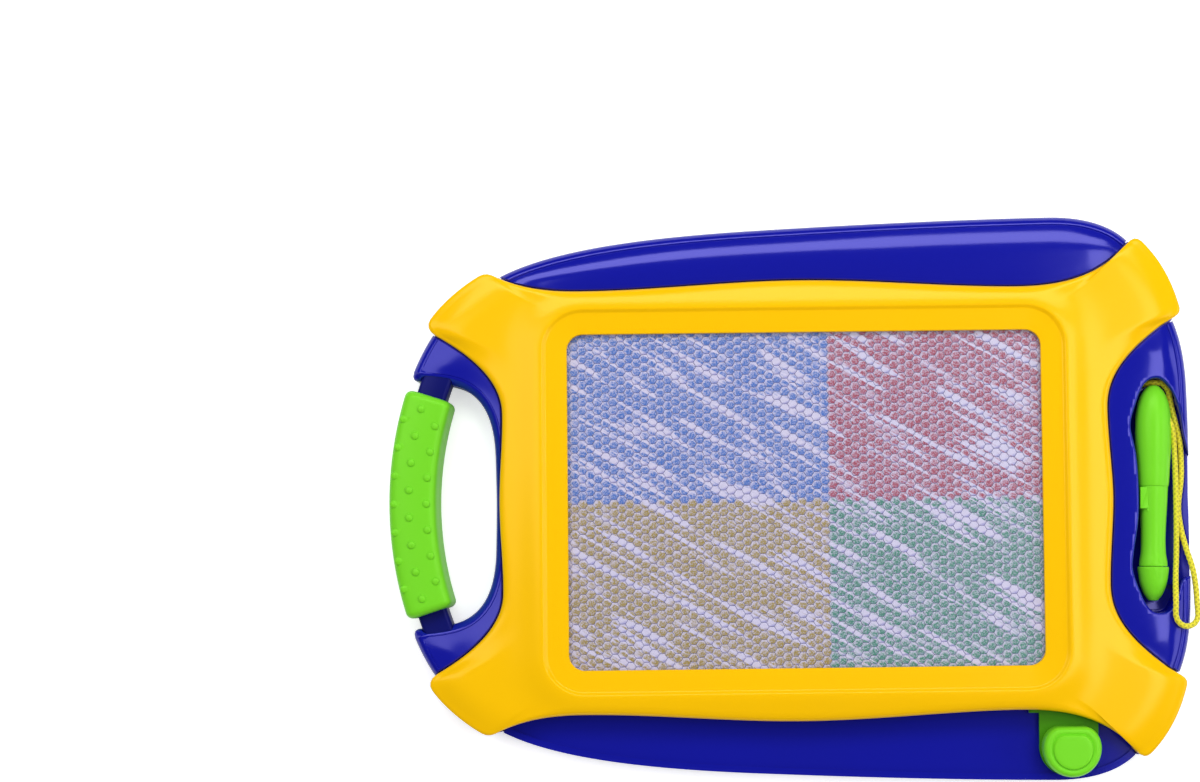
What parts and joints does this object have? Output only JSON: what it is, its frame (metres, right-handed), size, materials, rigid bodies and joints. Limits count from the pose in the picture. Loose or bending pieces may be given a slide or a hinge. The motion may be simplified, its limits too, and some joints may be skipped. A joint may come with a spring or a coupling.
{
  "type": "magnetic drawing board",
  "caption": "Toy magnetic drawing board with a honeycomb screen in a moulded frame, a sliding eraser knob, a pen on a cord in its pocket and a bumpy carrying grip.",
  "frame": {"origin": "middle of the board's outline, on the surface that its back lies on", "axes": "+X towards the pen pocket, +Y up the screen, +Z out of the screen"},
  "size_m": [0.3817, 0.267, 0.0263],
  "materials": {
    "yellow_plastic": "glossy moulded",
    "blue_plastic": "glossy moulded",
    "green_plastic": "semi-gloss moulded",
    "clear_film": "clear film",
    "honeycomb": "off-white cells with thin grey walls",
    "backing_film": "white film",
    "ferrite_strip": "matt black",
    "steel": "plain",
    "braid": "braided"
  },
  "bodies": {
    "board": {"front_bezel": "yellow_plastic", "front_shell": "blue_plastic", "rear_shell": "blue_plastic", "screen_frame": "blue_plastic", "screen_film": "clear_film", "screen_honeycomb": "honeycomb", "screen_backing": "backing_film", "handle_bar": "blue_plastic", "grip_front": "green_plastic", "grip_rear": "green_plastic", "cord": "braid", "cord_knot": "braid", "housing_screw_1": "steel", "housing_screw_2": "steel", "housing_screw_3": "steel", "housing_screw_4": "steel", "housing_screw_5": "steel", "housing_screw_6": "steel", "channel_screw_1": "steel", "channel_screw_2": "steel", "paw_screw_1": "steel", "paw_screw_2": "steel", "paw_screw_3": "steel", "paw_screw_4": "steel", "frame_screw_1": "steel", "frame_screw_2": "steel", "frame_screw_3": "steel", "frame_screw_4": "steel", "grip_screw_1": "steel", "grip_screw_2": "steel"},
    "eraser": {"eraser_carriage": "green_plastic", "eraser_magnet": "ferrite_strip", "eraser_knob": "green_plastic"},
    "pen": {"pen_cap": "green_plastic", "pen_barrel": "green_plastic", "pen_nose": "green_plastic", "pen_magnet": "steel"}
  },
  "joints": [
    {"name": "eraser_slide", "type": "slide", "parent": "board", "child": "eraser", "axis": [1, 0, 0], "range_m": [-0.238, 0]},
    {"name": "pen_lift", "type": "slide", "parent": "board", "child": "pen", "axis": [0, 0, 1], "range_m": [0, 0.04], "deforming": ["cord"]}
  ]
}
